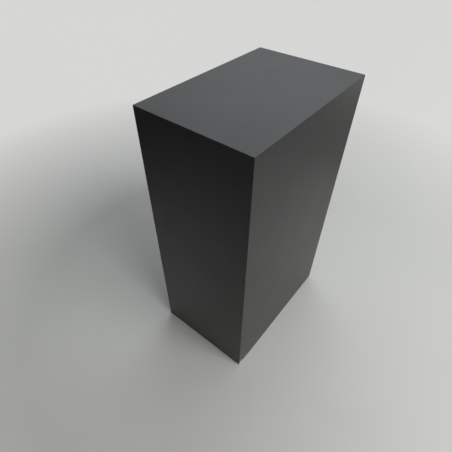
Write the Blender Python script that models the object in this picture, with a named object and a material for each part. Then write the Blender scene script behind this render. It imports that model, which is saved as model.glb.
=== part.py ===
"""Display plinth: a mitred MDF box, open underneath, standing on four levelling feet.

Metres, +Z up. The origin is on the floor under the middle of the box. The front faces -Y.
The box is built as a joiner builds it: five boards mitred at every meeting edge and keyed with
loose plywood tongues, glued posts and cleats inside, a ring of rails at the base, and a plywood
plate in each corner that carries a tee nut and its screw foot.
"""

import math

import bmesh
import bpy

# Overall size, floor to top with the feet wound in
WIDTH = 0.400
DEPTH = 0.600
HEIGHT = 1.020

# Shell boards
BOARD = 0.018
FLOOR_CLEARANCE = 0.002  # lower edge of the shell above the floor
GAP = 0.0003  # air between neighbouring pieces
MITRE_SETBACK = GAP / math.sqrt(2)  # along the board, so that two mitre faces stand GAP apart

# Loose tongues that key the mitres, set square to the mitre face
TONGUE_THICKNESS = 0.004
TONGUE_WIDTH = 0.014
TONGUE_INSET = 0.011  # from both outer faces to the middle of the tongue
TONGUE_STOP = 0.040  # from the end of the edge to the end of the tongue

# Framing inside the shell
POST = 0.032
CLEAT_HEIGHT = 0.032
CLEAT_THICKNESS = 0.020
RAIL_HEIGHT = 0.060
RAIL_THICKNESS = BOARD
PLATE_UNDERSIDE = 0.020
PLATE_TOP = PLATE_UNDERSIDE + BOARD
PLATE_SIDE = 0.110
PLATE_CLIP = 0.045  # cut off the plate's inner corner

# Countersunk screws, driven upwards through the plates
SCREW_HEAD_RADIUS = 0.0044
SCREW_RADIUS = 0.0022
SCREW_TIP_RADIUS = 0.0004
SCREW_LENGTH = 0.046
SCREW_TIP = 0.0043
HEAD_RECESS = GAP
RAIL_SCREW_INSET = 0.085  # from the inner corner of the shell

# Feet: M10 screw foot in a tee nut
FOOT_INSET = 0.050  # foot axis from both inner faces of the shell
SPINDLE_RADIUS = 0.005
SPINDLE_TOP = 0.061
SPINDLE_CHAMFER = 0.001
COLLAR_FLATS = 0.014
COLLAR_HEIGHT = 0.006
SOLE_RADIUS = 0.020
SOLE_THICKNESS = 0.0027
PAD_UNDERSIDE = SOLE_THICKNESS + GAP
PAD_RADIUS = 0.021
PAD_TOP_RADIUS = 0.013
PAD_RIM = 0.0028  # height of the pad's straight rim
PAD_TOP = 0.010
HEAD_RADIUS = 0.0055  # the spindle's captive head
HEAD_UNDERSIDE = PAD_UNDERSIDE + 0.0013
HEAD_TOP = 0.007
NECK_RADIUS = 0.0041
RUNNING_GAP = 0.0004  # radial air round a turning piece
NUT_FLANGE_RADIUS = 0.0125
NUT_FLANGE = 0.0018
NUT_BARREL_RADIUS = 0.006
NUT_BARREL_TOP = 0.035
NUT_BORE_RADIUS = SPINDLE_RADIUS + GAP

CUTTER_OVERRUN = 0.001
SEGMENTS = 24
SCREW_SEGMENTS = 12
SHARP_ANGLE = math.radians(30)

# Each side is the front, turned about Z. Each corner is the front left one, turned about Z.
SIDES = ("front", "right", "back", "left")
CORNERS = ("front_left", "front_right", "back_right", "back_left")
SPANS = {"front": WIDTH, "right": DEPTH, "back": WIDTH, "left": DEPTH}


# Scene helpers


def clear_scene():
    for obj in list(bpy.data.objects):
        bpy.data.objects.remove(obj, do_unlink=True)


def make_material(name, colour, roughness, metallic=0.0):
    material = bpy.data.materials.new(name)
    material.use_nodes = True
    shader = material.node_tree.nodes["Principled BSDF"]
    shader.inputs["Base Color"].default_value = (*colour, 1.0)
    shader.inputs["Roughness"].default_value = roughness
    shader.inputs["Metallic"].default_value = metallic
    material.diffuse_color = (*colour, 1.0)
    return material


def link(obj, parent, location, rotation):
    obj.parent = parent
    obj.location = location
    obj.rotation_euler = rotation
    bpy.context.scene.collection.objects.link(obj)
    return obj


def add_part(name, mesh, material, parent, location=(0, 0, 0), rotation=(0, 0, 0)):
    if not mesh.materials:
        mesh.materials.append(material)
    return link(bpy.data.objects.new(name, mesh), parent, location, rotation)


def add_cutter(name, mesh, parent, location=(0, 0, 0), rotation=(0, 0, 0)):
    cutter = link(bpy.data.objects.new(name, mesh), parent, location, rotation)
    cutter.hide_render = True
    cutter.display_type = "WIRE"
    return cutter


def add_empty(name, parent=None, location=(0, 0, 0), turn=0.0):
    return link(bpy.data.objects.new(name, None), parent, location, (0, 0, turn))


def cut(part, cutters):
    for cutter in cutters:
        modifier = part.modifiers.new(f"Cut {cutter.name}", "BOOLEAN")
        modifier.operation = "DIFFERENCE"
        modifier.object = cutter


# Mesh helpers


def finish_mesh(bm, name, smooth=False):
    bmesh.ops.recalc_face_normals(bm, faces=bm.faces)
    mesh = bpy.data.meshes.new(name)
    bm.to_mesh(mesh)
    bm.free()
    if smooth:
        mesh.shade_smooth()
        mesh.set_sharp_from_angle(angle=SHARP_ANGLE)
    return mesh


def bridge(bm, lower, upper):
    """Quads between two rings of vertices that run the same way round."""
    for i in range(len(lower)):
        bm.faces.new((lower[i - 1], lower[i], upper[i], upper[i - 1]))


def lofted_mesh(name, near, far):
    """A closed solid between two outlines that have the same number of corners."""
    bm = bmesh.new()
    rings = [[bm.verts.new(corner) for corner in outline] for outline in (near, far)]
    bridge(bm, *rings)
    for ring in rings:
        bm.faces.new(ring)
    return finish_mesh(bm, name)


def prism_mesh(name, outline, bottom, top):
    return lofted_mesh(name, *[[(x, y, z) for x, y in outline] for z in (bottom, top)])


def box_mesh(name, low, high):
    outline = ((low[0], low[1]), (high[0], low[1]), (high[0], high[1]), (low[0], high[1]))
    return prism_mesh(name, outline, low[2], high[2])


def centred_box_mesh(name, length, width, thickness):
    half = (length / 2, width / 2, thickness / 2)
    return box_mesh(name, [-h for h in half], half)


def ring_radius(half_width, angle, hexagonal):
    """Distance from the axis to a circle, or to the flats of a hexagon, at this angle."""
    if not hexagonal:
        return half_width
    sixth = math.radians(60)
    return half_width / math.cos(angle % sixth - sixth / 2)


def turned_mesh(name, profile, segments=SEGMENTS, hollow=False):
    """A solid turned about Z from (radius, height) points, listed bottom to top up the outside.

    A third item of True makes that ring a hexagon with its radius as half the width across flats.
    A hollow piece closes its last ring on its first; any other is capped at both ends.
    """
    bm = bmesh.new()
    rings = []
    for radius, height, *shape in profile:
        ring = []
        for step in range(segments):
            angle = 2 * math.pi * step / segments
            reach = ring_radius(radius, angle, bool(shape))
            ring.append(bm.verts.new((reach * math.cos(angle), reach * math.sin(angle), height)))
        rings.append(ring)
    for lower, upper in zip(rings, rings[1:]):
        bridge(bm, lower, upper)
    if hollow:
        bridge(bm, rings[-1], rings[0])
    else:
        bm.faces.new(rings[0])
        bm.faces.new(rings[-1])
    return finish_mesh(bm, name, smooth=True)


# Shell


def side_board_mesh(name, span):
    """An upright board, mitred at both upright edges and at the top, with a square lower edge."""
    faces = []
    for depth in (0.0, BOARD):
        half = span / 2 - depth - MITRE_SETBACK
        top = HEIGHT - depth - MITRE_SETBACK
        faces.append([
            (-half, depth, FLOOR_CLEARANCE),
            (half, depth, FLOOR_CLEARANCE),
            (half, depth, top),
            (-half, depth, top),
        ])
    return lofted_mesh(name, *faces)


def top_board_mesh(name):
    faces = []
    for depth in (0.0, BOARD):
        x = WIDTH / 2 - depth - MITRE_SETBACK
        y = DEPTH / 2 - depth - MITRE_SETBACK
        faces.append([(a, b, HEIGHT - depth) for a, b in ((-x, -y), (x, -y), (x, y), (-x, y))])
    return lofted_mesh(name, *faces)


def add_tongue(name, length, material, parent, location, rotation):
    """A tongue and the cutter for its stopped groove. Its length runs along its local X."""
    mesh = centred_box_mesh(name, length, TONGUE_WIDTH, TONGUE_THICKNESS)
    add_part(name, mesh, material, parent, location, rotation)
    room = [size + 2 * GAP for size in (length, TONGUE_WIDTH, TONGUE_THICKNESS)]
    groove = centred_box_mesh(f"{name}_groove", *room)
    return add_cutter(f"{name}_groove", groove, parent, location, rotation)


def add_corner_tongue(corner, frame, material):
    """Upright tongue in a corner frame, which stands on the shell's inner corner."""
    bottom = FLOOR_CLEARANCE + TONGUE_STOP
    top = HEIGHT - TONGUE_STOP
    inset = TONGUE_INSET - BOARD
    location = (inset, inset, (bottom + top) / 2)
    # Length up Z, thickness along the corner's diagonal
    rotation = (math.radians(45), math.radians(-90), 0)
    return add_tongue(f"corner_tongue_{corner}", top - bottom, material, frame, location, rotation)


def add_top_tongue(side, frame, material):
    """Level tongue in a side frame, whose Y runs inwards from the shell's outer face."""
    length = SPANS[side] - 2 * TONGUE_STOP
    location = (0, TONGUE_INSET, HEIGHT - TONGUE_INSET)
    rotation = (math.radians(45), 0, 0)
    return add_tongue(f"top_tongue_{side}", length, material, frame, location, rotation)


# Framing


def add_rail(side, frame, material, screw_cutters):
    half = SPANS[side] / 2 - BOARD - POST - 2 * GAP
    face = BOARD + GAP
    bottom = PLATE_TOP + GAP
    mesh = box_mesh(
        f"base_rail_{side}",
        (-half, face, bottom),
        (half, face + RAIL_THICKNESS, bottom + RAIL_HEIGHT),
    )
    rail = add_part(mesh.name, mesh, material, frame)
    cut(rail, screw_cutters)


def add_cleat(side, frame, material):
    half = SPANS[side] / 2 - BOARD - POST - 2 * GAP
    face = BOARD + GAP
    top = HEIGHT - BOARD - GAP
    mesh = box_mesh(
        f"top_cleat_{side}",
        (-half, face, top - CLEAT_HEIGHT),
        (half, face + CLEAT_THICKNESS, top),
    )
    add_part(mesh.name, mesh, material, frame)


def add_post(corner, frame, material, screw_cutter):
    mesh = box_mesh(
        f"corner_post_{corner}",
        (GAP, GAP, PLATE_TOP + GAP),
        (GAP + POST, GAP + POST, HEIGHT - BOARD - GAP),
    )
    post = add_part(mesh.name, mesh, material, frame)
    cut(post, [screw_cutter])


def add_plate(corner, frame, material, cutters):
    near = GAP
    far = GAP + PLATE_SIDE
    outline = [
        (near, near),
        (far, near),
        (far, far - PLATE_CLIP),
        (far - PLATE_CLIP, far),
        (near, far),
    ]
    mesh = prism_mesh(f"corner_plate_{corner}", outline, PLATE_UNDERSIDE, PLATE_TOP)
    plate = add_part(mesh.name, mesh, material, frame)
    cut(plate, cutters)


def screw_profile():
    head = PLATE_UNDERSIDE + HEAD_RECESS
    tip = head + SCREW_LENGTH
    return [
        (SCREW_HEAD_RADIUS, head),
        (SCREW_RADIUS, head + SCREW_HEAD_RADIUS - SCREW_RADIUS),
        (SCREW_RADIUS, tip - SCREW_TIP),
        (SCREW_TIP_RADIUS, tip),
    ]


def screw_hole_profile():
    """The screw's profile, GAP wider all over, from just outside the plate's underside."""
    head = PLATE_UNDERSIDE + HEAD_RECESS
    mouth = SCREW_HEAD_RADIUS + GAP
    shank = SCREW_RADIUS + GAP
    return [
        (mouth, PLATE_UNDERSIDE - CUTTER_OVERRUN),
        (mouth, head),
        (shank, head + mouth - shank),
        (shank, head + SCREW_LENGTH + GAP),
    ]


def add_screw(name, frame, x, y, material):
    mesh = turned_mesh(name, screw_profile(), SCREW_SEGMENTS)
    add_part(name, mesh, material, frame, (x, y, 0))
    hole = turned_mesh(f"{name}_hole", screw_hole_profile(), SCREW_SEGMENTS)
    return add_cutter(hole.name, hole, frame, (x, y, 0))


# Feet


def add_tee_nut(corner, frame, material):
    """Flange let into the plate's underside, barrel up into the plate."""
    flange_top = PLATE_UNDERSIDE + NUT_FLANGE
    profile = [
        (NUT_FLANGE_RADIUS, PLATE_UNDERSIDE),
        (NUT_FLANGE_RADIUS, flange_top),
        (NUT_BARREL_RADIUS, flange_top),
        (NUT_BARREL_RADIUS, NUT_BARREL_TOP),
        (NUT_BORE_RADIUS, NUT_BARREL_TOP),
        (NUT_BORE_RADIUS, PLATE_UNDERSIDE),
    ]
    mesh = turned_mesh(f"tee_nut_{corner}", profile, hollow=True)
    add_part(mesh.name, mesh, material, frame)
    seat = [
        (NUT_FLANGE_RADIUS + GAP, PLATE_UNDERSIDE - CUTTER_OVERRUN),
        (NUT_FLANGE_RADIUS + GAP, flange_top + GAP),
        (NUT_BARREL_RADIUS + GAP, flange_top + GAP),
        (NUT_BARREL_RADIUS + GAP, PLATE_TOP + CUTTER_OVERRUN),
    ]
    hole = turned_mesh(f"tee_nut_{corner}_seat", seat)
    return add_cutter(hole.name, hole, frame)


def add_foot(corner, frame, materials):
    """Screw spindle with a hexagonal collar, whose head turns captive in a nylon pad on a rubber sole."""
    collar_bottom = PAD_TOP + GAP
    collar_top = collar_bottom + COLLAR_HEIGHT
    spindle = turned_mesh(f"foot_spindle_{corner}", [
        (HEAD_RADIUS, HEAD_UNDERSIDE),
        (HEAD_RADIUS, HEAD_TOP),
        (NECK_RADIUS, HEAD_TOP),
        (NECK_RADIUS, collar_bottom),
        (COLLAR_FLATS / 2, collar_bottom, True),
        (COLLAR_FLATS / 2, collar_top, True),
        (SPINDLE_RADIUS, collar_top),
        (SPINDLE_RADIUS, SPINDLE_TOP - SPINDLE_CHAMFER),
        (SPINDLE_RADIUS - SPINDLE_CHAMFER, SPINDLE_TOP),
    ])
    add_part(spindle.name, spindle, materials["steel"], frame)
    pad = turned_mesh(f"foot_pad_{corner}", [
        (PAD_RADIUS, PAD_UNDERSIDE),
        (PAD_RADIUS, PAD_UNDERSIDE + PAD_RIM),
        (PAD_TOP_RADIUS, PAD_TOP),
        (NECK_RADIUS + RUNNING_GAP, PAD_TOP),
        (NECK_RADIUS + RUNNING_GAP, HEAD_TOP + GAP),
        (HEAD_RADIUS + RUNNING_GAP, HEAD_TOP + GAP),
        (HEAD_RADIUS + RUNNING_GAP, HEAD_UNDERSIDE - GAP),
    ])
    add_part(pad.name, pad, materials["nylon"], frame)
    sole = turned_mesh(f"foot_sole_{corner}", [(SOLE_RADIUS, 0.0), (SOLE_RADIUS, SOLE_THICKNESS)])
    add_part(sole.name, sole, materials["rubber"], frame)


# Assembly


def make_materials():
    return {
        "lacquer": make_material("black_lacquered_mdf", (0.030, 0.030, 0.032), 0.55),
        "plywood": make_material("birch_plywood", (0.62, 0.46, 0.28), 0.65),
        "softwood": make_material("softwood", (0.66, 0.49, 0.30), 0.70),
        "steel": make_material("zinc_plated_steel", (0.62, 0.62, 0.60), 0.35, 1.0),
        "nylon": make_material("black_nylon", (0.025, 0.025, 0.026), 0.50),
        "rubber": make_material("grey_rubber", (0.10, 0.10, 0.10), 0.85),
    }


def make_frames():
    """An empty for each side, on its outer face, and for each corner, at the shell's inner corner."""
    sides = {}
    corners = {}
    for index, (side, corner) in enumerate(zip(SIDES, CORNERS)):
        turn = index * math.pi / 2
        reach_x, reach_y = math.sin(turn) * WIDTH / 2, -math.cos(turn) * DEPTH / 2
        sides[side] = add_empty(f"{side}_side", None, (reach_x, reach_y, 0), turn)
        x = (WIDTH / 2 - BOARD) * (1 if "right" in corner else -1)
        y = (DEPTH / 2 - BOARD) * (1 if "back" in corner else -1)
        corners[corner] = add_empty(f"{corner}_corner", None, (x, y, 0), turn)
    return sides, corners


def make_plinth():
    clear_scene()
    materials = make_materials()
    sides, corners = make_frames()

    corner_grooves = {
        corner: add_corner_tongue(corner, corners[corner], materials["plywood"]) for corner in CORNERS
    }
    top_grooves = {side: add_top_tongue(side, sides[side], materials["plywood"]) for side in SIDES}
    rail_holes = {side: [] for side in SIDES}

    for index, corner in enumerate(CORNERS):
        frame = corners[corner]
        # The rails along this corner's local X and local Y
        along_x, along_y = SIDES[index], SIDES[index - 1]
        middle = GAP + RAIL_THICKNESS / 2
        spots = {
            along_x: (RAIL_SCREW_INSET, middle),
            along_y: (middle, RAIL_SCREW_INSET),
        }
        plate_cutters = []
        for side, (x, y) in spots.items():
            name = f"plate_screw_{corner}_to_{side}_rail"
            hole = add_screw(name, frame, x, y, materials["steel"])
            rail_holes[side].append(hole)
            plate_cutters.append(hole)
        centre = GAP + POST / 2
        post_hole = add_screw(f"plate_screw_{corner}_to_post", frame, centre, centre, materials["steel"])
        plate_cutters.append(post_hole)
        axis = add_empty(f"foot_axis_{corner}", frame, (FOOT_INSET, FOOT_INSET, 0))
        plate_cutters.append(add_tee_nut(corner, axis, materials["steel"]))
        add_plate(corner, frame, materials["plywood"], plate_cutters)
        add_post(corner, frame, materials["softwood"], post_hole)
        add_foot(corner, axis, materials)

    for index, side in enumerate(SIDES):
        frame = sides[side]
        add_rail(side, frame, materials["plywood"], rail_holes[side])
        add_cleat(side, frame, materials["softwood"])
        mesh = side_board_mesh(f"{side}_panel", SPANS[side])
        board = add_part(mesh.name, mesh, materials["lacquer"], frame)
        # A side lies between the corner of its own number and the next one
        ends = (CORNERS[index], CORNERS[(index + 1) % len(CORNERS)])
        cut(board, [corner_grooves[end] for end in ends] + [top_grooves[side]])

    top = top_board_mesh("top_panel")
    board = add_part(top.name, top, materials["lacquer"], None)
    cut(board, top_grooves.values())


make_plinth()
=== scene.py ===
"""Looks of the display plinth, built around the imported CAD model.

Metres, +Z up, in the CAD's own frame: the origin is on the floor under the middle of the box,
and the front faces -Y. Every piece's mesh is in world coordinates and its object sits at the
origin, so a material's object coordinates are places on the plinth. Colours are linear.
"""

import math

import bmesh
import bpy
from mathutils import Matrix, Vector, noise


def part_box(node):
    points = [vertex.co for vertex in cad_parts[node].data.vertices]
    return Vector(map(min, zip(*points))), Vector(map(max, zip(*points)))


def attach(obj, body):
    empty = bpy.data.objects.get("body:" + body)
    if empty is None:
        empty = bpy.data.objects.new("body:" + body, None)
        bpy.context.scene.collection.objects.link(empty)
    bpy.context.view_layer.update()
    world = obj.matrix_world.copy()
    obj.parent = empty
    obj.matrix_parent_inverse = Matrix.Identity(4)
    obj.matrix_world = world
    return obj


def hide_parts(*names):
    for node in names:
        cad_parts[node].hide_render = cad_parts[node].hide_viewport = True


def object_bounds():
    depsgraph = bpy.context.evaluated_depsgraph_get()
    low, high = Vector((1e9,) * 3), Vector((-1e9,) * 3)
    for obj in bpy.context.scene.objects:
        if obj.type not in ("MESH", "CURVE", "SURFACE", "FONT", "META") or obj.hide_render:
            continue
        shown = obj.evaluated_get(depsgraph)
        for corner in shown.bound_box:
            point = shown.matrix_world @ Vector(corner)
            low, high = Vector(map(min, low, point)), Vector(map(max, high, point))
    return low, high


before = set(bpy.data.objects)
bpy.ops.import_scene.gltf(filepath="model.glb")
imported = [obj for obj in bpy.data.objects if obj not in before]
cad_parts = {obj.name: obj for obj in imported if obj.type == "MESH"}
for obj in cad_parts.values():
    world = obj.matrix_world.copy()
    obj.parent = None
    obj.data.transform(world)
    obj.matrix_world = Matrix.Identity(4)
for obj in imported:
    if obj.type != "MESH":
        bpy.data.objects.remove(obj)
cad_low, cad_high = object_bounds()

# Overall size and the names of the sides and corners, from the CAD
WIDTH = cad_high.x - cad_low.x
DEPTH = cad_high.y - cad_low.y
HEIGHT = cad_high.z
SHELL_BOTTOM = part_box("front_panel")[0].z
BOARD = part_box("front_panel")[1].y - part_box("front_panel")[0].y
SIDES = ("front", "right", "back", "left")
CORNERS = ("front_left", "front_right", "back_right", "back_left")  # where each side starts
SPANS = (WIDTH, DEPTH, WIDTH, DEPTH)  # length of each side
OUTWARD = ((0, -1), (1, 0), (0, 1), (-1, 0))  # X and Y of each side's outward direction
NEAR_CORNER = Vector((WIDTH / 2, -DEPTH / 2, SHELL_BOTTOM))
X, Y, Z = range(3)

# Shell boards
ARRIS_RADIUS = 0.0006
ARRIS_STEPS = 4
ARRIS_MIDDLE = ARRIS_RADIUS * (1 - math.sqrt(0.5))  # depth half way round an arris
SEAM = 0.00002  # each mitre face stands back this far, closed up under the lacquer
WEAR_WIDTH = 0.003  # rubbed strip along an arris
CLEARANCE = 0.0003  # between a piece and its neighbour, or the hole that is cut for it
SAME_PLACE = 0.000001  # vertices nearer together than this are one

# Chip and scuff at the foot of the right board. Places are measured from its near lower corner,
# and reaches are into the board, along it and up it.
CHIP_PLACE = (0.0, 0.012, 0.004)
CHIP_REACH = (0.0016, 0.015, 0.022)
CHIP_SUBDIVISIONS = 5
CHIP_ROUNDING = 0.7  # 0 for flat breaks with sharp edges, 1 for a ball
CHIP_LUMPS = 0.24
CHIP_OCTAVES = ((3.1, 1.0), (7.0, 0.7), (17.0, 0.3))  # fineness and strength of the lumps
SCUFF_PLACE = (0.0, 0.038, 0.002)
SCUFF_REACH = (0.004, 0.042, 0.028)

# Heights above the floor of the scuffs round the box, and of the overspray inside it
KICK_TOP = 0.14  # no scuffs above here
KICK_FULL = 0.01  # at their strongest below here
SPRAY_TOP = 0.040
SPRAY_FULL = 0.012
SPRAY_RAGGED = 0.010  # how far the overspray's margin wanders up and down

# Framing
POST_EDGE = 0.0025
PLY_EDGE = 0.0007
EDGE_STEPS = 3
PLY = 0.00139  # one veneer of the plywood
RAIL_PLIES = 13
TONGUE_PLIES = 3
BANDS_ACROSS = 260.0  # growth bands of the softwood to the metre, one way across its grain
BANDS_THROUGH = 90.0  # the same, the other way
BAND_BEND = 7.0  # how many bands they wander by

# Beads of glue
BEAD_RADIUS = 0.0016
BEAD_STEP = 0.012  # between rings of vertices
BEAD_SIDES = 8
BEAD_LUMPS = 31.0  # swellings to the metre
BEAD_MEAN = 0.62  # this and the next three are shares of the radius
BEAD_SWELL = 0.55
BEAD_THINNEST = 0.12
BEAD_TIP = 0.15
BEAD_MARGIN = 0.01  # between a bead's end and the end of its corner
POST_BEAD_TOP = 0.05  # the posts' beads stop this far below their tops
CLEAT_SEED = 10  # the posts' beads take the seeds below this

# Threads
SPINDLE_PITCH = 0.0015
SPINDLE_CREST = 0.0050
SPINDLE_ROOT = 0.00408
SCREW_PITCH = 0.0022
SCREW_ROOT = 0.00155
SCREW_CREST = SCREW_ROOT * 1.4
RINGS_PER_TURN = 6
FLANK_SLOPE = 2.6  # depths of thread that a flank falls in one pitch
FLANK_START = 0.45  # depths of thread that the flat crest cuts off

# Plate screws
SCREW_EDGE = 0.0002
SCREW_THREAD = 0.030  # from the tip down to the first turn
SCREW_TAPER = 0.005  # from the tip down to the last turn
SCREW_TIP = ((SCREW_ROOT * 0.7, 0.002), (0.0003, 0.0))  # radius, distance from the tip
SCREW_TURN = 1.1  # radians from one screw's recess to the next one's
RECESS_REACH = 0.0021
RECESS_WING = 0.00045
RECESS_DEPTH = 0.0022
RECESS_MOUTH = 1.05  # scale of the cross just outside the head, and at the recess's end
RECESS_END = 0.45

# Spindles
BALL = (  # radius, height above the underside
    (0.0042, 0.0), (0.0051, 0.0004), (0.0055, 0.0011), (0.0055, 0.0020), (0.0050, 0.0026),
    (0.0041, 0.0027),
)
NECK_RADIUS = 0.0041
COLLAR_HEIGHT = 0.006
COLLAR_CHAMFER = 0.0006
COLLAR_FACE = 0.0001  # radius of the collar's round end faces, beyond half its width
UNDERCUT = (0.0046, 0.0012)  # radius, height above the collar
THREAD_START = 0.002  # above the collar
THREAD_END = 0.001  # below the tip
TIP_CHAMFER = 0.0006

# Pads: heights are above the underside, and drops below the top
FLUTES = 24
FLUTE_DEPTH = 0.0004
PAD_EDGE = 0.0008  # width of the easing round the underside
PAD_RIM = (0.0006, 0.0022)  # heights of the fluted rim
PAD_BEAD = ((0.0008, 0.0028), (0.0016, 0.0026), (0.0022, 0.0030))  # inset from the rim, height
PAD_SHOULDER = ((0.0165, 0.0046), (0.0140, 0.0058), (0.0128, 0.0067))  # radius, height
PAD_TOP = ((0.0120, 0.0001), (0.0114, 0.0))  # radius, drop
PAD_NECK = 0.0045
PAD_NECK_EDGE = 0.0005
PAD_SOCKET = ((PAD_NECK, 0.0044), (0.0059, 0.0042), (0.0059, 0.0010))  # radius, height

# Soles
SOLE_MIDDLE = 0.0030  # radius of the innermost ring of vertices
GROOVES = (0.0055, 0.0100, 0.0145)  # inner radii
GROOVE_WIDTH = 0.0015
GROOVE_DEPTH = 0.0007
GROOVE_SLOPE = 0.0003
SOLE_BOTTOM_EDGE = 0.0006
SOLE_TOP_EDGE = 0.0004

# Tee nuts
NUT_BORE = 0.0053
NUT_BARREL = 0.0060
NUT_FLANGE = 0.0018  # thickness
NUT_EDGE = 0.0002
NUT_FILLET = 0.0003
NUT_RIM = (0.0002, 0.0003)  # width and height of the easing round the barrel's top
NUT_LIP = (0.0002, 0.0004)  # the same inside the barrel's top
NUT_MOUTH = (0.0006, 0.0008)  # the same at the countersunk mouth, below
NOTCH_DEPTH = 0.0030
NOTCH_HALF = math.radians(13)

# Turned shapes
SEGMENTS = 48
FINE_SEGMENTS = 96
THREAD_SEGMENTS = 24
SMOOTH_ANGLE = math.radians(35)

# Camera
CAMERA_PLACE = (0.5537, -0.8495, 1.448)
CAMERA_HEADING = math.radians(38.13)
CAMERA_TILT = math.radians(45.68)
CAMERA_ROLL = math.radians(0.63)
LENS = 28.06
SENSOR = 36.0

# Studio
FLOOR_RADIUS = 1.4  # the part of the floor that lights the plinth
FLOOR_EYE = 0.001  # a pinhole in its middle, so that every face of it has four sides
BEND_RADIUS = 2.4  # where the backdrop starts to curve up
BEND_STEPS = 12
WALL_RADIUS = 3.6
WALL_HEIGHT = 3.4
STAGE_SEGMENTS = 96
FADE_START = 1.0  # where the lit floor begins to turn into the even backdrop
FADE_END = 2.4
SOFTBOXES = (  # name, place, where it faces, size, watts and colour
    ("overhead", (0.3, 0.4, 3.2), (0, 0, 0), (3.0, 3.0), 18.0, (1.06, 1.03, 0.91)),
    ("high_back", (-1.0, 2.0, 3.2), (0, 0, 0.8), (2.4, 2.4), 41.5, (0.93, 1.00, 1.07)),
    ("high_right", (2.4, -0.4, 2.8), (0, 0, 0.5), (2.0, 2.0), 63.0, (1.00, 1.01, 0.99)),
    ("right", (3.2, 0.3, 1.6), (0, 0, 0.5), (2.4, 2.4), 38.0, (1.03, 1.00, 0.97)),
    ("low_back", (1.2, 2.8, 0.8), (0, 0, 0.5), (2.4, 1.4), 17.5, (1.00, 1.01, 0.99)),
    ("left", (-2.9, 1.2, 1.8), (0, 0, 0.6), (2.0, 2.0), 10.0, (0.97, 1.00, 1.03)),
)

# Shader nodes
NOISE_LOW = 0.3  # noise seldom goes below this, or above the next
NOISE_HIGH = 0.7
MIX_FIRST = 6  # colour sockets of a Mix node
MIX_SECOND = 7
MIX_RESULT = 2

# Colours
LACQUER_DEEP = (0.0088, 0.0090, 0.0093)
LACQUER_PALE = (0.0132, 0.0134, 0.0138)
LACQUER_RUBBED = (0.075, 0.074, 0.072)
DUST = (0.26, 0.25, 0.235)
MDF_DEEP = (0.31, 0.205, 0.115)
MDF_PALE = (0.47, 0.335, 0.205)
MDF_FLECK = 0.45  # the flecks' share of the deep colour
BREAK_DEEP = (0.25, 0.245, 0.23)
BREAK_PALE = (0.45, 0.445, 0.42)
PINE_EARLY = (0.60, 0.415, 0.225)
PINE_LATE = (0.43, 0.245, 0.105)
PINE_PORE = (0.33, 0.19, 0.085)
PINE_KNOT = (0.14, 0.062, 0.026)
BIRCH_FACE_DEEP = (0.52, 0.375, 0.225)
BIRCH_FACE_PALE = (0.68, 0.52, 0.345)
BIRCH_END_DEEP = (0.36, 0.235, 0.125)
BIRCH_END_PALE = (0.47, 0.325, 0.185)
BIRCH_GLUE_LINE = (0.14, 0.08, 0.045)
ZINC_BLUE = (0.56, 0.585, 0.62)
ZINC_STRAW = (0.66, 0.64, 0.56)
ZINC_DULL = (0.36, 0.36, 0.36)
NYLON_DEEP = (0.020, 0.020, 0.021)
NYLON_PALE = (0.034, 0.034, 0.035)
RUBBER_DEEP = (0.075, 0.075, 0.076)
RUBBER_PALE = (0.125, 0.124, 0.122)
RUBBER_BLOOM = (0.30, 0.29, 0.27)
GLUE_AMBER = (0.42, 0.27, 0.10)
GLUE_MILKY = (0.62, 0.47, 0.24)
FLOOR_DEEP = (0.547, 0.551, 0.538)
FLOOR_PALE = (0.575, 0.579, 0.565)
BACKDROP = (0.66, 0.665, 0.65)
BLACK = (0.0, 0.0, 0.0)


# Frames of the sides and corners


def side_matrix(index):
    """On a side's outer face at floor level: X along the side, Y inwards."""
    x, y = OUTWARD[index]
    reach = (x * WIDTH / 2, y * DEPTH / 2, 0)
    return Matrix.Translation(reach) @ Matrix.Rotation(index * math.pi / 2, 4, "Z")


def corner_matrix(index):
    """On the shell's inner corner at floor level: X and Y run inwards along the two sides."""
    x = (WIDTH / 2 - BOARD) * (1 if "right" in CORNERS[index] else -1)
    y = (DEPTH / 2 - BOARD) * (1 if "back" in CORNERS[index] else -1)
    return Matrix.Translation((x, y, 0)) @ Matrix.Rotation(index * math.pi / 2, 4, "Z")


def node_matrix(node):
    """At floor level under the middle of a CAD node."""
    low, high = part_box(node)
    return Matrix.Translation(((low.x + high.x) / 2, (low.y + high.y) / 2, 0))


# Mesh helpers


def ring_of(bm, points):
    return [bm.verts.new(point) for point in points]


def circle(bm, radius, height, segments):
    """A ring of vertices round the Z axis. The radius may be a function of angle."""
    angles = [2 * math.pi * step / segments for step in range(segments)]
    reaches = [radius(angle) if callable(radius) else radius for angle in angles]
    return ring_of(bm, [
        (reach * math.cos(angle), reach * math.sin(angle), height)
        for angle, reach in zip(angles, reaches)
    ])


def bridge(bm, lower, upper):
    """Quads between two rings of vertices that run the same way round."""
    return [
        bm.faces.new((lower[i - 1], lower[i], upper[i], upper[i - 1])) for i in range(len(lower))
    ]


def loft(bm, rings, capped=True):
    """A skin from each ring to the next, with its two ends filled if it is capped."""
    for lower, upper in zip(rings, rings[1:]):
        bridge(bm, lower, upper)
    if capped:
        bm.faces.new(rings[0])
        bm.faces.new(rings[-1])


def finish_mesh(bm, name, matrix=None):
    """Turns the faces outwards, and moves the new mesh by the matrix."""
    bmesh.ops.recalc_face_normals(bm, faces=bm.faces)
    mesh = bpy.data.meshes.new(name)
    bm.to_mesh(mesh)
    bm.free()
    if matrix is not None:
        mesh.transform(matrix)
    return mesh


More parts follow.
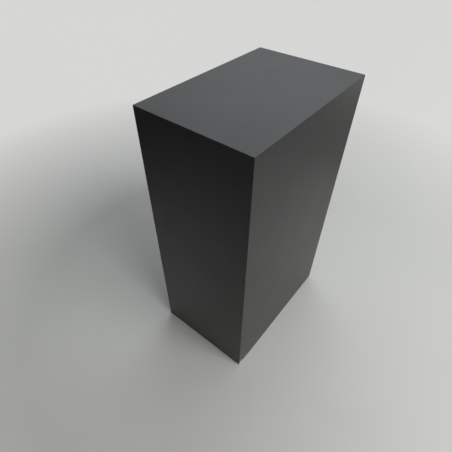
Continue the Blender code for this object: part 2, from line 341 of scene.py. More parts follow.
def turned_mesh(name, rings, segments=SEGMENTS, hollow=False, matrix=None):
    """A shape turned about Z from (radius, height) rings. A hollow one is a tube with thick walls."""
    bm = bmesh.new()
    circles = [circle(bm, radius, height, segments) for radius, height in rings]
    loft(bm, circles, capped=not hollow)
    if hollow:
        bridge(bm, circles[-1], circles[0])
    return finish_mesh(bm, name, matrix)


def link_object(name, data):
    made = bpy.data.objects.new(name, data)
    bpy.context.scene.collection.objects.link(made)
    return made


def add_piece(name, mesh, materials, body, slot, replaced=(), smooth=True):
    """A visible piece that rides on a CAD body, in place of the CAD nodes in replaced."""
    for material in materials:
        mesh.materials.append(material)
    piece = link_object(name, mesh)
    if smooth:
        mesh.shade_smooth()
        mesh.set_sharp_from_angle(angle=SMOOTH_ANGLE)
        piece.modifiers.new("Flat faces stay flat", "WEIGHTED_NORMAL").keep_sharp = True
    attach(piece, body)
    if replaced:
        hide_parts(*replaced)
    return piece


def add_cutter(mesh, material):
    mesh.materials.append(material)
    return link_object(mesh.name, mesh)


def hole_mesh(node):
    """A copy of a CAD node's mesh with the clearance added on every face."""
    bm = bmesh.new()
    bm.from_mesh(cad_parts[node].data)
    bmesh.ops.remove_doubles(bm, verts=bm.verts, dist=SAME_PLACE)
    bm.normal_update()
    moves = [vert.normal * vert.calc_shell_factor() * CLEARANCE for vert in bm.verts]
    for vert, move in zip(bm.verts, moves):
        vert.co += move
    return finish_mesh(bm, f"{node}_hole")


def add_hole_cutters(nodes, material):
    return [add_cutter(hole_mesh(node), material) for node in nodes]


def carve(piece, cutters):
    """Cuts the cutters out of the piece, leaves their material on the cut faces, and removes them."""
    carved = link_object("carved", piece.data)
    for cutter in cutters:
        modifier = carved.modifiers.new("Carve", "BOOLEAN")
        modifier.operation = "DIFFERENCE"
        modifier.solver = "EXACT"
        modifier.material_mode = "TRANSFER"
        modifier.object = cutter
    graph = bpy.context.evaluated_depsgraph_get()
    piece.data = bpy.data.meshes.new_from_object(
        carved.evaluated_get(graph), preserve_all_data_layers=True, depsgraph=graph
    )
    for helper in (carved, *cutters):
        bpy.data.objects.remove(helper)


# Materials


class Shader:
    """One material's node tree, with a short call for each kind of node."""

    def __init__(self, name, **constants):
        self.material = bpy.data.materials.new(name)
        self.material.use_nodes = True
        self.tree = self.material.node_tree
        self.surface = self.tree.nodes["Principled BSDF"]
        self.coordinates = self.add("ShaderNodeTexCoord")
        self.place = self.coordinates.outputs["Object"]
        for socket, value in constants.items():
            self.surface.inputs[socket.replace("_", " ")].default_value = value

    def add(self, kind, inputs=(), **settings):
        """A node whose inputs are values or other nodes' outputs."""
        node = self.tree.nodes.new(kind)
        for key, value in settings.items():
            setattr(node, key, value)
        for key, value in dict(inputs).items():
            self.feed(node.inputs[key], value)
        return node

    def feed(self, socket, value):
        if isinstance(value, bpy.types.NodeSocket):
            self.tree.links.new(value, socket)
        else:
            socket.default_value = value

    def noise(self, per_metre, detail=2.0, distortion=0.0, shift=0.0):
        """Noise around 0.5, with this many patches to the metre, or three numbers along X, Y and Z."""
        stretch = per_metre if isinstance(per_metre, tuple) else (per_metre,) * 3
        place = self.add(
            "ShaderNodeMapping", {"Vector": self.place, "Scale": stretch, "Location": (shift,) * 3}
        )
        inputs = {
            "Vector": place.outputs[0], "Scale": 1.0, "Detail": detail, "Distortion": distortion,
        }
        return self.add("ShaderNodeTexNoise", inputs).outputs[0]

    def spread(self, value, low, high, to_low=0.0, to_high=1.0):
        """Maps low..high to to_low..to_high, and holds the ends beyond them."""
        inputs = {
            "Value": value, "From Min": low, "From Max": high, "To Min": to_low, "To Max": to_high,
        }
        return self.add("ShaderNodeMapRange", inputs).outputs["Result"]

    def cloud(self, per_metre, detail=2.0, low=0.0, high=1.0, distortion=0.0, shift=0.0):
        """Noise spread from low to high over the range that it mostly keeps to."""
        value = self.noise(per_metre, detail, distortion, shift)
        return self.spread(value, NOISE_LOW, NOISE_HIGH, low, high)

    def maths(self, operation, first, second=0.0):
        return self.add("ShaderNodeMath", {0: first, 1: second}, operation=operation).outputs[0]

    def product(self, *values):
        result = values[0]
        for value in values[1:]:
            result = self.maths("MULTIPLY", result, value)
        return result

    def total(self, *values):
        result = values[0]
        for value in values[1:]:
            result = self.maths("ADD", result, value)
        return result

    def blend(self, factor, first, second):
        """The first colour where the factor is 0, the second where it is 1."""
        inputs = {0: factor}
        for index, colour in ((MIX_FIRST, first), (MIX_SECOND, second)):
            inputs[index] = (*colour, 1.0) if isinstance(colour, tuple) else colour
        return self.add("ShaderNodeMix", inputs, data_type="RGBA").outputs[MIX_RESULT]

    def axis(self, index, source="Object"):
        """X, Y or Z of the place, or of the surface's direction with source Normal."""
        parts = self.add("ShaderNodeSeparateXYZ", {0: self.coordinates.outputs[source]})
        return parts.outputs[index]

    def along(self, vector, direction):
        """How far a vector reaches along a direction, whichever way."""
        dot = self.add("ShaderNodeVectorMath", {0: vector, 1: direction}, operation="DOT_PRODUCT")
        return self.maths("ABSOLUTE", dot.outputs["Value"])

    def within(self, centre, reach):
        """1 at the centre of an ellipsoid, 0 at its surface and below 0 outside."""
        scale = tuple(1 / part for part in reach)
        shift = tuple(-place / part for place, part in zip(centre, reach))
        unit = self.add("ShaderNodeMapping", {"Vector": self.place, "Scale": scale, "Location": shift})
        away = self.add("ShaderNodeVectorMath", {0: unit.outputs[0]}, operation="LENGTH")
        return self.maths("SUBTRACT", 1.0, away.outputs["Value"])

    def attribute(self, name):
        return self.add("ShaderNodeAttribute", attribute_name=name).outputs["Fac"]

    def bump(self, height, metres, under=None):
        """Relief, this many metres high between a height of 0 and 1, on top of the relief under it."""
        inputs = {"Height": height, "Distance": metres}
        if under is not None:
            inputs["Normal"] = under
        return self.add("ShaderNodeBump", inputs).outputs["Normal"]

    def finish(self, colour, roughness, normal):
        self.feed(self.surface.inputs["Base Color"], colour)
        self.feed(self.surface.inputs["Roughness"], roughness)
        self.feed(self.surface.inputs["Normal"], normal)
        return self.material


def lacquer_material():
    """Sprayed matt black: clouds, orange peel, dust on top, rubbed arrises and scuffs near the floor."""
    s = Shader("black_lacquer", Specular_IOR_Level=0.5, Sheen_Weight=0.13, Sheen_Roughness=0.5)
    clouds = s.cloud(5.0, detail=3)
    mottle = s.cloud(70.0, detail=4)
    shade = s.total(s.product(clouds, 0.65), s.product(mottle, 0.35))
    colour = s.blend(shade, LACQUER_DEEP, LACQUER_PALE)

    upward = s.spread(s.axis(Z, "Normal"), 0.6, 0.95)
    specks = s.spread(s.noise(1300.0, detail=1), 0.68, 0.76)
    haze = s.spread(s.noise(3.0, detail=4, shift=4.0), 0.35, 0.75, 0.0, 0.022)
    dust = s.product(upward, s.total(s.product(specks, 0.25), haze))
    colour = s.blend(dust, colour, DUST)

    nicks = s.spread(s.noise(140.0, detail=5), 0.56, 0.66)
    rubbed = s.product(s.attribute("wear"), nicks, 0.5)
    low = s.spread(s.axis(Z), KICK_TOP, KICK_FULL)
    streaks = s.spread(s.noise((16.0, 16.0, 420.0), detail=3, distortion=0.3), 0.64, 0.72)
    patches = s.spread(s.noise(9.0, detail=2, shift=9.0), 0.5, 0.62)
    scuffs = s.product(low, streaks, patches, 0.35)
    torn = s.noise((60.0, 60.0, 420.0), detail=5, distortion=0.4, shift=1.0)
    inside = s.within(NEAR_CORNER + Vector(SCUFF_PLACE), SCUFF_REACH)
    scrape = s.spread(s.total(inside, torn), 0.56, 1.02)
    worn = s.maths("MAXIMUM", s.maths("MAXIMUM", rubbed, scuffs), scrape)
    colour = s.blend(worn, colour, LACQUER_RUBBED)

    sheen = s.cloud(6.0, detail=3, low=0.51, high=0.54, distortion=0.8, shift=2.0)
    smudges = s.spread(s.noise(13.0, detail=4, distortion=1.2, shift=7.0), 0.58, 0.7, 0.0, -0.015)
    flow = s.spread(mottle, 0.0, 1.0, -0.016, 0.016)
    roughness = s.total(sheen, smudges, flow, s.product(worn, -0.1), s.product(dust, 0.3))

    peel = s.bump(s.noise(380.0, detail=1), 0.00007)
    grain = s.bump(s.noise(1900.0, detail=2), 0.000012, peel)
    return s.finish(colour, roughness, grain)


def mdf_colour(s, deep, pale):
    """Matted fibres with darker flecks of bark and glue."""
    felt = s.cloud(260.0, detail=5)
    flecks = s.spread(s.noise((900.0, 900.0, 1500.0), detail=2, shift=3.0), 0.66, 0.74, 0.0, 0.55)
    fibres = s.blend(felt, deep, pale)
    return s.blend(flecks, fibres, tuple(MDF_FLECK * part for part in deep))


def mdf_material():
    """Raw MDF inside the box, with a ragged margin of black overspray round the lower edge."""
    s = Shader("raw_mdf")
    fibres = mdf_colour(s, MDF_DEEP, MDF_PALE)
    ragged = s.total(s.axis(Z), s.cloud(40.0, detail=6, low=-SPRAY_RAGGED, high=SPRAY_RAGGED))
    spray = s.spread(ragged, SPRAY_TOP, SPRAY_FULL)
    colour = s.blend(spray, fibres, LACQUER_PALE)
    roughness = s.cloud(30.0, detail=3, low=0.74, high=0.86)
    return s.finish(colour, roughness, s.bump(s.noise(700.0, detail=4), 0.00008))


def broken_mdf_material():
    """Fresh break in the MDF: torn fibres, greyed by dust from the floor."""
    s = Shader("broken_mdf")
    fibres = mdf_colour(s, BREAK_DEEP, BREAK_PALE)
    roughness = s.cloud(200.0, low=0.85, high=0.95)
    return s.finish(fibres, roughness, s.bump(s.noise(260.0, detail=5), 0.0009))


def grain_scales(axis, along, across):
    """Noise patches to the metre for a grain that runs along one axis."""
    return tuple(along if index == axis else across for index in range(3))


def softwood_material(axis):
    """Planed pine whose grain runs along one axis: growth bands, pores and a few knots."""
    s = Shader(f"softwood_{'xyz'[axis]}")
    bend = s.noise(grain_scales(axis, 2.2, 26.0), detail=2)
    across, through = s.axis((axis + 1) % 3), s.axis((axis + 2) % 3)
    count = s.total(
        s.product(across, BANDS_ACROSS), s.product(through, BANDS_THROUGH), s.product(bend, BAND_BEND)
    )
    late = s.spread(s.maths("PINGPONG", count, 1.0), 0.55, 1.0)
    wood = s.blend(late, PINE_EARLY, PINE_LATE)
    pores = s.spread(s.noise(grain_scales(axis, 30.0, 1300.0), detail=2), 0.56, 0.7, 0.0, 0.35)
    wood = s.blend(pores, wood, PINE_PORE)
    knots = s.spread(s.noise(grain_scales(axis, 5.0, 24.0), detail=1, shift=5.0), 0.74, 0.79)
    wood = s.blend(knots, wood, PINE_KNOT)
    roughness = s.total(0.62, s.product(late, -0.08))
    normal = s.bump(s.noise(grain_scales(axis, 60.0, 2000.0), detail=3), 0.00005)
    return s.finish(wood, roughness, normal)


def plywood_material(name, grain, sheet, start):
    """Birch plywood. grain is the axis of the face grain, sheet the unit vector through the sheet.

    start is how far from the origin, along that vector, the veneers begin. Opposite rails share one
    material, because the distance is taken without its sign.
    """
    s = Shader(name)
    layer = s.maths("DIVIDE", s.maths("SUBTRACT", s.along(s.place, sheet), start), PLY)
    odd = s.spread(s.maths("PINGPONG", layer, 1.0), 0.42, 0.58)
    line = s.spread(s.maths("PINGPONG", layer, 0.5), 0.05, 0.0)
    streak = s.cloud(grain_scales(grain, 14.0, 340.0), detail=4)
    face = s.blend(streak, BIRCH_FACE_DEEP, BIRCH_FACE_PALE)
    end = s.blend(streak, BIRCH_END_DEEP, BIRCH_END_PALE)
    edge = s.blend(line, s.blend(odd, face, end), BIRCH_GLUE_LINE)
    on_face = s.spread(s.along(s.coordinates.outputs["Normal"], sheet), 0.7, 0.75)
    colour = s.blend(on_face, edge, face)
    roughness = s.spread(streak, 0.0, 1.0, 0.66, 0.56)
    normal = s.bump(s.noise(grain_scales(grain, 40.0, 1500.0), detail=3), 0.00005)
    return s.finish(colour, roughness, normal)


def zinc_material():
    """Bright zinc plate: a blue and straw tinge, dull patches and fine handling scratches."""
    s = Shader("zinc_steel", Metallic=1.0)
    tinge = s.spread(s.noise(90.0, detail=3), 0.35, 0.65)
    plate = s.blend(tinge, ZINC_BLUE, ZINC_STRAW)
    dull = s.spread(s.noise(420.0, detail=4, shift=3.0), 0.5, 0.68)
    plate = s.blend(s.product(dull, 0.5), plate, ZINC_DULL)
    roughness = s.total(s.cloud(160.0, detail=3, low=0.26, high=0.40), s.product(dull, 0.2))
    scratches = s.noise((300.0, 300.0, 4000.0), detail=2)
    return s.finish(plate, roughness, s.bump(scratches, 0.000012))


def nylon_material():
    """Moulded black nylon with a fine spark-eroded texture, unevenly glossy."""
    s = Shader("black_nylon")
    colour = s.blend(s.cloud(120.0, detail=3), NYLON_DEEP, NYLON_PALE)
    roughness = s.cloud(60.0, detail=2, low=0.44, high=0.58)
    return s.finish(colour, roughness, s.bump(s.noise(2600.0, detail=2), 0.00004))


def rubber_material():
    """Grey rubber with a dusty bloom and a worn, pitted skin."""
    s = Shader("grey_rubber")
    cloud = s.cloud(150.0, detail=4)
    bloom = s.spread(s.noise(35.0, detail=5, shift=6.0), 0.52, 0.75, 0.0, 0.4)
    colour = s.blend(bloom, s.blend(cloud, RUBBER_DEEP, RUBBER_PALE), RUBBER_BLOOM)
    roughness = s.spread(cloud, 0.0, 1.0, 0.78, 0.9)
    return s.finish(colour, roughness, s.bump(s.noise(1100.0, detail=3), 0.00007))


def glue_material():
    """Dried wood glue: amber, slightly milky, with a soft skin."""
    s = Shader("wood_glue")
    milk = s.cloud(180.0, detail=3)
    colour = s.blend(milk, GLUE_AMBER, GLUE_MILKY)
    roughness = s.spread(milk, 0.0, 1.0, 0.25, 0.42)
    return s.finish(colour, roughness, s.bump(s.noise(500.0, detail=2), 0.0001))


def studio_material():
    """Plain pale floor, which turns into an evenly lit backdrop away from the plinth."""
    s = Shader("studio_grey", Emission_Color=(*BACKDROP, 1.0))
    floor = s.blend(s.cloud(1.3, detail=4), FLOOR_DEEP, FLOOR_PALE)
    from_middle = s.add("ShaderNodeVectorMath", {0: s.place}, operation="LENGTH")
    far = s.spread(from_middle.outputs["Value"], FADE_START, FADE_END)
    s.feed(s.surface.inputs["Emission Strength"], far)
    return s.finish(s.blend(far, floor, BLACK), 0.8, s.bump(s.noise(900.0), 0.00002))


# Shell


def edge_inset(depth):
    """How far a rounded arris stands back from the square corner at this depth below the face."""
    below = ARRIS_RADIUS - min(depth, ARRIS_RADIUS)
    return ARRIS_RADIUS - math.sqrt(ARRIS_RADIUS ** 2 - below ** 2)


def board_stations():
    """(depth, inset of the mitred edges, inset of a free edge, wear) from the outer face inwards.

    The arrises of two mitred boards meet half way round their curves, under the lacquer, and the
    seam opens behind that line.
    """
    turns = [step * math.pi / 2 / ARRIS_STEPS for step in range(ARRIS_STEPS + 1)]
    depths = [ARRIS_RADIUS * (1 - math.cos(turn)) for turn in turns]
    stations = [(0.0, WEAR_WIDTH, WEAR_WIDTH, 0.0)]
    for step, depth in enumerate(depths):
        inset = edge_inset(depth)
        seam = SEAM if step > ARRIS_STEPS // 2 else 0.0
        stations.append((depth, max(inset, depth + seam), inset, 1.0))
    for depth in reversed(depths):
        stations.append((BOARD - depth, BOARD - depth + SEAM, edge_inset(depth), 0.0))
    return stations


def board_mesh(name, corners_at, free_edge, matrix=None):
    """A board whose outer face and rounded arrises are lacquered and whose other faces are raw.

    corners_at(depth, mitred, free) gives its four corners at a depth below the outer face. The
    first edge, from corner 0 to corner 1, is a free edge, lacquered all over, if free_edge is set.
    """
    bm = bmesh.new()
    wear = bm.verts.layers.float.new("wear")
    rings = []
    stations = board_stations()
    for depth, mitred, free, rubbed in stations:
        ring = ring_of(bm, corners_at(depth, mitred, free))
        for vert in ring:
            vert[wear] = rubbed
        rings.append(ring)
    bm.faces.new(rings[0])
    bm.faces.new(rings[-1]).material_index = 1
    for (depth, *_), lower, upper in zip(stations, rings, rings[1:]):
        for index, face in enumerate(bridge(bm, lower, upper)):
            # Quad 1 joins corner 0 to corner 1
            lacquered = depth < ARRIS_MIDDLE or (free_edge and index == 1)
            face.material_index = 0 if lacquered else 1
    return finish_mesh(bm, name, matrix)


def side_corners(span):
    """Corners of a side board of this span, whose free edge is its lower one."""
    def corners_at(depth, mitred, free):
        half, bottom, top = span / 2 - mitred, SHELL_BOTTOM + free, HEIGHT - mitred
        return [(-half, depth, bottom), (half, depth, bottom), (half, depth, top), (-half, depth, top)]
    return corners_at


def top_corners(depth, mitred, free):
    """Corners of the top board, which has no free edge."""
    x, y, z = WIDTH / 2 - mitred, DEPTH / 2 - mitred, HEIGHT - depth
    return [(-x, -y, z), (x, -y, z), (x, y, z), (-x, y, z)]


def chip_mesh():
    """A lumpy lens on the right board, beside its lower front corner."""
    bm = bmesh.new()
    bmesh.ops.create_icosphere(bm, subdivisions=CHIP_SUBDIVISIONS, radius=1.0)
    place = NEAR_CORNER + Vector(CHIP_PLACE)
    for vert in bm.verts:
        unit = vert.co.copy()
        flat = unit / sum(abs(part) for part in unit)  # on an octahedron, whose faces are the break
        shape = flat.lerp(unit, CHIP_ROUNDING)
        lumps = sum(strength * noise.noise(unit * fineness) for fineness, strength in CHIP_OCTAVES)
        vert.co = place + Vector(CHIP_REACH) * shape * (1 + CHIP_LUMPS * lumps)
    return finish_mesh(bm, "chip")


def add_board(node, mesh, lacquer, raw, cutters):
    name = f"{node}_lacquered"
    piece = add_piece(name, mesh, [lacquer, raw], "carcass", "black_lacquer", [node], smooth=False)
    carve(piece, cutters)


def add_shell(lacquer, raw, broken):
    for index, side in enumerate(SIDES):
        mesh = board_mesh(f"{side}_board", side_corners(SPANS[index]), True, side_matrix(index))
        ends = (CORNERS[index], CORNERS[(index + 1) % len(CORNERS)])
        tongues = [f"corner_tongue_{end}" for end in ends] + [f"top_tongue_{side}"]
        cutters = add_hole_cutters(tongues, raw)
        if side == "right":
            cutters.append(add_cutter(chip_mesh(), broken))
        add_board(f"{side}_panel", mesh, lacquer, raw, cutters)
    mesh = board_mesh("top_board", top_corners, False)
    cutters = add_hole_cutters([f"top_tongue_{side}" for side in SIDES], raw)
    add_board("top_panel", mesh, lacquer, raw, cutters)


# Framing


def bar_mesh(name, low, high, radius):
    """A squared bar with rounded edges."""
    bm = bmesh.new()
    bmesh.ops.create_cube(bm, size=1.0)
    size, middle = high - low, (high + low) / 2
    for vert in bm.verts:
        vert.co = middle + vert.co * size
    bmesh.ops.bevel(
        bm, geom=bm.edges, offset=radius, segments=EDGE_STEPS, profile=0.5, affect="EDGES"
    )
    return finish_mesh(bm, name)


def add_bar(node, suffix, radius, material, slot, screws=()):
    low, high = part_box(node)
    mesh = bar_mesh(f"{node}_{suffix}", low, high, radius)
    piece = add_piece(mesh.name, mesh, [material], "carcass", slot, [node])
    if screws:
        carve(piece, add_hole_cutters(screws, material))


def plate_screws(ending=""):
    return [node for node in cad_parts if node.startswith("plate_screw_") and node.endswith(ending)]


def bead_rings(bm, start, end, seed):
    """Rings of vertices along a bead of uneven thickness."""
    length = (end - start).length
    along = (end - start) / length
    across = along.orthogonal().normalized()
    up = along.cross(across)
    steps = round(length / BEAD_STEP)
    turns = [2 * math.pi * side / BEAD_SIDES for side in range(BEAD_SIDES)]
    rings = []
    for step in range(steps + 1):
        centre = start + along * (length * step / steps)
        swell = BEAD_MEAN + BEAD_SWELL * noise.noise(centre * BEAD_LUMPS + Vector((seed, 0, 0)))
        radius = BEAD_RADIUS * (BEAD_TIP if step in (0, steps) else max(swell, BEAD_THINNEST))
        rings.append(ring_of(bm, [
            centre + radius * (across * math.cos(turn) + up * math.sin(turn)) for turn in turns
        ]))
    return rings


def add_beads(name, matrix, lines, seed, glue):
    """Dried glue squeezed out along inner corners, in one piece. Each line is (start, end)."""
    bm = bmesh.new()
    for start, end in lines:
        loft(bm, bead_rings(bm, matrix @ Vector(start), matrix @ Vector(end), seed))
    add_piece(name, finish_mesh(bm, name), [glue], "carcass", "softwood")


def add_posts(softwood, glue):
    for index, corner in enumerate(CORNERS):
        node = f"corner_post_{corner}"
        add_bar(node, "planed", POST_EDGE, softwood, "softwood", plate_screws(f"{corner}_to_post"))
        low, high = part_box(node)
        face = high.x - low.x + CLEARANCE
        bottom, top = low.z + BEAD_MARGIN, high.z - POST_BEAD_TOP
        lines = [((x, y, bottom), (x, y, top)) for x, y in ((face, 0.0), (0.0, face))]
        add_beads(f"post_glue_{corner}", corner_matrix(index), lines, index, glue)


def add_cleats(softwoods, glue):
    """Front and back cleats take the first softwood, right and left ones the second."""
    for index, side in enumerate(SIDES):
        node = f"top_cleat_{side}"
        add_bar(node, "planed", POST_EDGE, softwoods[index % 2], "softwood")
        low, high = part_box(node)
        half = max(high.x - low.x, high.y - low.y) / 2 - BEAD_MARGIN
        line = ((-half, BOARD, low.z), (half, BOARD, low.z))
        add_beads(f"cleat_glue_{side}", side_matrix(index), [line], CLEAT_SEED + index, glue)


def add_rails():
    """Rails whose veneers are counted outwards from their inner faces."""
    thickness = RAIL_PLIES * PLY
    back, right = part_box("base_rail_back")[1].y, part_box("base_rail_right")[1].x
    plywoods = (
        plywood_material("plywood_rail_x", X, (0, 1, 0), back - thickness),
        plywood_material("plywood_rail_y", Y, (1, 0, 0), right - thickness),
    )
    for index, side in enumerate(SIDES):
        screws = plate_screws(f"_to_{side}_rail")
        add_bar(f"base_rail_{side}", "sanded", PLY_EDGE, plywoods[index % 2], "plywood", screws)


def add_framing(glue):
    softwoods = [softwood_material(axis) for axis in (X, Y, Z)]
    add_posts(softwoods[Z], glue)
    add_cleats(softwoods, glue)
    add_rails()


def repaint(node, material):
    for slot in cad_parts[node].material_slots:
        slot.material = material


def repaint_tongue(node, grain, sheet):
    """Plywood for a tongue. grain and sheet are as in plywood_material."""
    low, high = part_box(node)
    middle = abs(((low + high) / 2).dot(Vector(sheet)))
    start = middle - TONGUE_PLIES * PLY / 2
    repaint(node, plywood_material(f"plywood_{node}", grain, sheet, start))


def paint_sheet_parts():
    """Plywood for the CAD's own corner plates and tongues, whose shapes are right."""
    plate_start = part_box("corner_plate_front_left")[0].z
    plate_ply = plywood_material("plywood_plate", X, (0, 0, 1), plate_start)
    slant = math.sqrt(0.5)  # X, Y or Z of a unit vector at 45 degrees
    for index, (corner, side, (x, y)) in enumerate(zip(CORNERS, SIDES, OUTWARD)):
        repaint(f"corner_plate_{corner}", plate_ply)
        across = -slant if index % 2 else slant
        repaint_tongue(f"corner_tongue_{corner}", Z, (slant, across, 0))
        repaint_tongue(f"top_tongue_{side}", index % 2, (x * slant, y * slant, slant))


# Screws and feet


def thread_radius(root, crest, pitch, height, angle):
    """Radius of a right-hand thread at a height and angle: flat crests, with V grooves between them."""
    phase = (height / pitch - angle / (2 * math.pi)) % 1.0
    flank = max(abs(phase - 0.5) * FLANK_SLOPE - FLANK_START, 0.0)
    return crest + (root - crest) * flank


def threaded_rings(root, crest, pitch, bottom, top):
    """(radius, height) rings that follow the thread, which fades to the root at both ends."""
    rings = []
    count = round((top - bottom) / pitch * RINGS_PER_TURN)
    for step in range(count + 1):
        height = bottom + (top - bottom) * step / count
        fade = min(1.0, (height - bottom) / pitch, (top - height) / pitch)
        tip = root + (crest - root) * fade
        rings.append((lambda angle, h=height, c=tip: thread_radius(root, c, pitch, h, angle), height))
    return rings


def recess_mesh(bottom):
    """Cross-shaped driver recess, tapering upwards from a screw head's underside."""
    bm = bmesh.new()
    reach, wing = RECESS_REACH, RECESS_WING
    cross = [
        (reach, -wing), (reach, wing), (wing, wing), (wing, reach), (-wing, reach), (-wing, wing),
        (-reach, wing), (-reach, -wing), (-wing, -wing), (-wing, -reach), (wing, -reach), (wing, -wing),
    ]
    ends = ((bottom - CLEARANCE, RECESS_MOUTH), (bottom + RECESS_DEPTH, RECESS_END))
    loft(bm, [ring_of(bm, [(x * scale, y * scale, height) for x, y in cross]) for height, scale in ends])
    return finish_mesh(bm, "recess")


def screw_mesh(node):
    """A countersunk screw, head down, on the Z axis at the CAD screw's height."""
    low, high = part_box(node)
    head = (high.x - low.x) / 2
    cone_top = low.z + head - SCREW_ROOT
    rings = [(head - SCREW_EDGE, low.z), (head, low.z + SCREW_EDGE), (SCREW_ROOT, cone_top)]
    rings += threaded_rings(
        SCREW_ROOT, SCREW_CREST, SCREW_PITCH, high.z - SCREW_THREAD, high.z - SCREW_TAPER
    )
    rings += [(radius, high.z - drop) for radius, drop in SCREW_TIP]
    return turned_mesh("screw", rings, THREAD_SEGMENTS)


def add_screws(zinc):
    nodes = plate_screws()
    pattern = link_object("screw_pattern", screw_mesh(nodes[0]))
    pattern.data.materials.append(zinc)
    carve(pattern, [add_cutter(recess_mesh(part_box(nodes[0])[0].z), zinc)])
    for index, node in enumerate(nodes):
        mesh = pattern.data.copy()
        mesh.transform(node_matrix(node) @ Matrix.Rotation(index * SCREW_TURN, 4, "Z"))
        add_piece(f"{node}_threaded", mesh, [], "carcass", "zinc_steel", [node])
    bpy.data.objects.remove(pattern)


def hexagon(flats, limit):
    """Radius by angle of a hexagon this wide across its flats, cut off at the limit."""
    def radius(angle):
        sixth = math.radians(60)
        return min(flats / 2 / math.cos(angle % sixth - sixth / 2), limit)
    return radius


def notched(radius):
    """Radius by angle of a tee nut's flange, with four notches where its prongs were bent up."""
    def reach(angle):
        quarter = math.radians(90)
        near = abs(angle % quarter - quarter / 2)
        return radius - NOTCH_DEPTH if near < NOTCH_HALF else radius
    return reach


def fluted(radius):
    """Radius by angle of a rim with shallow flutes."""
    def reach(angle):
        return radius - FLUTE_DEPTH * (0.5 + 0.5 * math.cos(FLUTES * angle))
    return reach


def spindle_mesh(name, node):
    """Captive ball head, neck, chamfered hexagonal collar and a rolled M10 thread."""
    low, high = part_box(node)
    flats = min(high.x - low.x, high.y - low.y)
    face = hexagon(flats, flats / 2 + COLLAR_FACE)
    full = hexagon(flats, flats / math.sqrt(3))
    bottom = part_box(node.replace("spindle", "pad"))[1].z + CLEARANCE
    top = bottom + COLLAR_HEIGHT
    undercut_radius, undercut_height = UNDERCUT
    rings = [(radius, low.z + height) for radius, height in BALL]
    rings += [
        (NECK_RADIUS, bottom), (face, bottom), (full, bottom + COLLAR_CHAMFER),
        (full, top - COLLAR_CHAMFER), (face, top), (SPINDLE_CREST, top),
        (undercut_radius, top + undercut_height),
    ]
    rings += threaded_rings(
        SPINDLE_ROOT, SPINDLE_CREST, SPINDLE_PITCH, top + THREAD_START, high.z - THREAD_END
    )
    rings += [(SPINDLE_ROOT - TIP_CHAMFER, high.z)]
    return turned_mesh(name, rings, matrix=node_matrix(node))


def pad_mesh(name, node):
    """Moulded pad: fluted rim, bead, dished shoulder and a collar round the spindle's neck."""
    low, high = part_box(node)
    outer = (high.x - low.x) / 2
    rings = [(outer - PAD_EDGE, low.z)]
    rings += [(fluted(outer), low.z + height) for height in PAD_RIM]
    rings += [(outer - inset, low.z + height) for inset, height in PAD_BEAD]
    rings += [(radius, low.z + height) for radius, height in PAD_SHOULDER]
    rings += [(radius, high.z - drop) for radius, drop in PAD_TOP]
    rings += [(PAD_NECK + PAD_NECK_EDGE, high.z), (PAD_NECK, high.z - PAD_NECK_EDGE)]
    rings += [(radius, low.z + height) for radius, height in PAD_SOCKET]
    return turned_mesh(name, rings, FINE_SEGMENTS, matrix=node_matrix(node))


def sole_mesh(name, node):
    """Rubber sole with three ring grooves in its tread."""
    low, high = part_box(node)
    outer = (high.x - low.x) / 2
    floor = low.z + GROOVE_DEPTH
    rings = [(SOLE_MIDDLE, low.z)]
    for inner in GROOVES:
        rim = inner + GROOVE_WIDTH
        rings += [
            (inner, low.z), (inner + GROOVE_SLOPE, floor), (rim - GROOVE_SLOPE, floor), (rim, low.z),
        ]
    rings += [
        (outer - SOLE_BOTTOM_EDGE, low.z), (outer, low.z + SOLE_BOTTOM_EDGE),
        (outer, high.z - SOLE_TOP_EDGE), (outer - SOLE_TOP_EDGE, high.z),
    ]
    return turned_mesh(name, rings, matrix=node_matrix(node))


def tee_nut_mesh(name, node):
    """Pressed tee nut: notched flange and rolled barrel, with a countersunk mouth."""
    low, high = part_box(node)
    flange = (high.x - low.x) / 2
    plate = low.z + NUT_FLANGE
    rings = [
        (notched(flange - NUT_EDGE), low.z),
        (notched(flange), low.z + NUT_EDGE),
        (notched(flange), plate),
        (NUT_BARREL + NUT_FILLET, plate),
        (NUT_BARREL, plate + NUT_FILLET),
        (NUT_BARREL, high.z - NUT_RIM[1]),
        (NUT_BARREL - NUT_RIM[0], high.z),
        (NUT_BORE + NUT_LIP[0], high.z),
        (NUT_BORE, high.z - NUT_LIP[1]),
        (NUT_BORE, low.z + NUT_MOUTH[1]),
        (NUT_BORE + NUT_MOUTH[0], low.z),
    ]
    return turned_mesh(name, rings, FINE_SEGMENTS, hollow=True, matrix=node_matrix(node))


def add_feet(zinc):
    nylon = nylon_material()
    rubber = rubber_material()
    kinds = (
        ("tee_nut_{}", "pressed", tee_nut_mesh, "carcass", zinc, "zinc_steel"),
        ("foot_spindle_{}", "threaded", spindle_mesh, "spindle_{}", zinc, "zinc_steel"),
        ("foot_pad_{}", "moulded", pad_mesh, "foot_{}", nylon, "black_nylon"),
        ("foot_sole_{}", "treaded", sole_mesh, "foot_{}", rubber, "grey_rubber"),
    )
    for corner in CORNERS:
        for pattern, suffix, make, body, material, slot in kinds:
            node = pattern.format(corner)
            mesh = make(f"{node}_{suffix}", node)
            add_piece(mesh.name, mesh, [material], body.format(corner), slot, [node])


# Studio


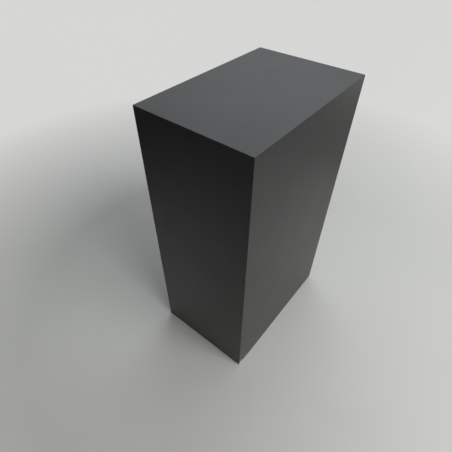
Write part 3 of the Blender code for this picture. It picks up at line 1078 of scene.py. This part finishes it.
def add_stage(name, profile, material, bounces):
    """A surface turned about Z from (radius, height) points."""
    bm = bmesh.new()
    rings = [circle(bm, radius, height, STAGE_SEGMENTS) for radius, height in profile]
    loft(bm, rings, capped=False)
    mesh = finish_mesh(bm, name)
    mesh.materials.append(material)
    mesh.shade_smooth()
    stage = link_object(name, mesh)
    stage.visible_diffuse = bounces
    stage.visible_glossy = bounces
    stage.visible_shadow = bounces


def add_studio():
    """Pale floor, and a backdrop that only the camera sees, curving up all round it."""
    material = studio_material()
    add_stage("floor", [(FLOOR_EYE, 0.0), (FLOOR_RADIUS, 0.0)], material, True)
    rise = WALL_RADIUS - BEND_RADIUS
    turns = [math.radians(90 * step / BEND_STEPS) for step in range(BEND_STEPS + 1)]
    bend = [(BEND_RADIUS + rise * math.sin(turn), rise * (1 - math.cos(turn))) for turn in turns]
    profile = [(FLOOR_RADIUS, 0.0), *bend, (WALL_RADIUS, WALL_HEIGHT)]
    add_stage("backdrop", profile, material, False)


def add_softbox(name, place, target, size, power, colour):
    data = bpy.data.lights.new(name, "AREA")
    data.shape = "RECTANGLE"
    data.size, data.size_y = size
    data.energy = power
    data.color = colour
    light = link_object(name, data)
    light.location = place
    light.rotation_euler = (Vector(place) - Vector(target)).to_track_quat("Z", "Y").to_euler()
    light.visible_camera = False


def add_lights():
    for softbox in SOFTBOXES:
        add_softbox(*softbox)
    world = bpy.data.worlds.new("studio")
    world.use_nodes = True
    world.node_tree.nodes["Background"].inputs["Strength"].default_value = 0.0
    bpy.context.scene.world = world


def add_camera():
    data = bpy.data.cameras.new("camera")
    data.lens = LENS
    data.sensor_width = SENSOR
    camera = link_object("camera", data)
    heading = Matrix.Rotation(CAMERA_HEADING, 4, "Z")
    tilt = Matrix.Rotation(CAMERA_TILT, 4, "X")
    roll = Matrix.Rotation(CAMERA_ROLL, 4, "Z")
    camera.matrix_world = Matrix.Translation(CAMERA_PLACE) @ heading @ tilt @ roll
    bpy.context.scene.camera = camera


def make_plinth():
    add_shell(lacquer_material(), mdf_material(), broken_mdf_material())
    add_framing(glue_material())
    paint_sheet_parts()
    zinc = zinc_material()
    add_screws(zinc)
    add_feet(zinc)


make_plinth()
add_studio()
add_lights()
add_camera()
bpy.context.scene.view_settings.view_transform = "Standard"
